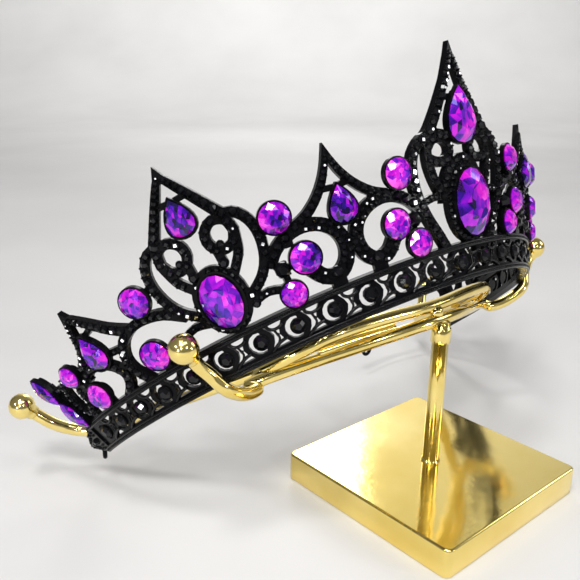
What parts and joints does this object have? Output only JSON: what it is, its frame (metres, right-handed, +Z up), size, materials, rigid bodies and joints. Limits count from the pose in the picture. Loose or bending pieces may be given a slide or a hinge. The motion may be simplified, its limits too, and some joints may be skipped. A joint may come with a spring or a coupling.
{
  "type": "tiara on display stand",
  "caption": "Pierced black tiara with pointed leaves, scrolls and purple cut stones, leaning back on a gilt wire stand with a square foot.",
  "frame": {"origin": "centre of the underside of the stand's foot, under the post", "axes": "+Z up, -Y towards the tiara's front leaf, X across from one side of the tiara to the other"},
  "size_m": [0.1826, 0.1072, 0.122],
  "materials": {
    "black_metal": "glossy black enamel on cast metal",
    "black_stone": "cut black glass",
    "purple_stone": "cut purple stone with a foiled back that shifts between magenta and violet",
    "gilt": "polished gilt"
  },
  "bodies": {
    "root": {"tiara_frame": "black_metal", "band_stones": "black_stone", "stand_foot": "gilt", "stand_cradle": "gilt", "stone_left_peak2_drop": "purple_stone", "stone_left_shoulder2_round": "purple_stone", "stone_left_shoulder3_round": "purple_stone", "stone_left_scroll2_round": "purple_stone", "stone_left_scroll3_round": "purple_stone", "stone_left_low2_round": "purple_stone", "stone_left_low3_round": "purple_stone", "stone_left_peak3_oval": "purple_stone", "stone_left_peak3_drop": "purple_stone", "stone_left_shoulder4_round": "purple_stone", "stone_left_low4_round": "purple_stone", "stone_left_scroll4_round": "purple_stone", "stone_left_peak4_drop": "purple_stone", "stone_left_tail_high_round": "purple_stone", "stone_left_tail_low_round": "purple_stone", "stone_left_tail_high_leaf": "purple_stone", "stone_left_tail_low_leaf": "purple_stone", "stone_right_peak2_drop": "purple_stone", "stone_right_shoulder2_round": "purple_stone", "stone_right_shoulder3_round": "purple_stone", "stone_right_scroll2_round": "purple_stone", "stone_right_scroll3_round": "purple_stone", "stone_right_low2_round": "purple_stone", "stone_right_low3_round": "purple_stone", "stone_right_peak3_oval": "purple_stone", "stone_right_peak3_drop": "purple_stone", "stone_right_shoulder4_round": "purple_stone", "stone_right_low4_round": "purple_stone", "stone_right_scroll4_round": "purple_stone", "stone_right_peak4_drop": "purple_stone", "stone_right_tail_high_round": "purple_stone", "stone_right_tail_low_round": "purple_stone", "stone_right_tail_high_leaf": "purple_stone", "stone_right_tail_low_leaf": "purple_stone", "stone_center_oval": "purple_stone", "stone_center_drop": "purple_stone"}
  },
  "joints": []
}
